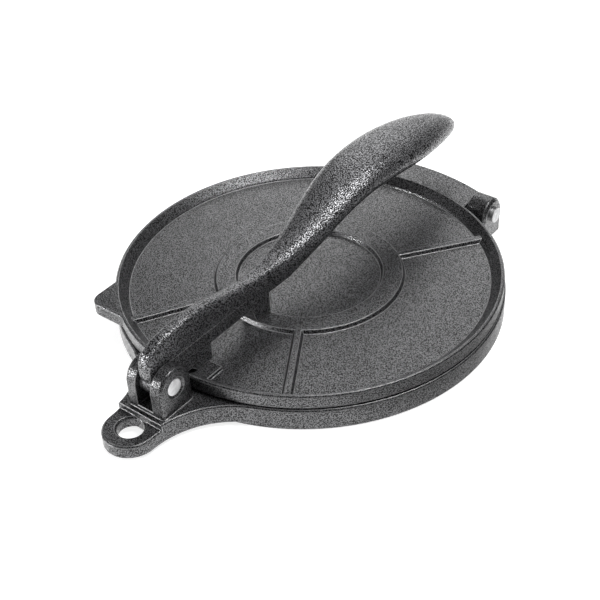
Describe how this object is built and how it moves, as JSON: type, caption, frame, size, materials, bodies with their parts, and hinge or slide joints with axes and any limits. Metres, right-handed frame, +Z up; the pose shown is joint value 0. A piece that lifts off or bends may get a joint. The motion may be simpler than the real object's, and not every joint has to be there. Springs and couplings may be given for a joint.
{
  "type": "tortilla press",
  "caption": "Cast hand press for flat dough: round plates hinged at the back, pressed shut by a lever that turns in a fork at the front.",
  "frame": {"origin": "under the middle of the press, on the surface it stands on, on the press's centre line", "axes": "+X along both pins, to the right seen from the fork, +Y from the lever's fork to the hinge of the plates, +Z up"},
  "size_m": [0.2018, 0.2802, 0.0637],
  "materials": {
    "cast_paint": "glossy hammertone",
    "pin_steel": "bare ground steel"
  },
  "bodies": {
    "base": {"base_plate": "cast_paint", "lever_pin": "pin_steel", "hinge_pin": "pin_steel"},
    "plate": {"upper_plate": "cast_paint"},
    "lever_arm": {"lever": "cast_paint"}
  },
  "joints": [
    {"name": "lever_turn", "type": "hinge", "parent": "base", "child": "lever_arm", "pos_m": [0, -0.1074, 0.025], "axis": [1, 0, 0], "range_deg": [0, 98]},
    {"name": "plate_lift", "type": "hinge", "parent": "base", "child": "plate", "pos_m": [0, 0.1088, 0.014], "axis": [-1, 0, 0], "range_deg": [0, 105]}
  ],
  "couplings": [
    {"joint": "plate_lift", "follows": "lever_turn", "ratio": 0.07}
  ]
}
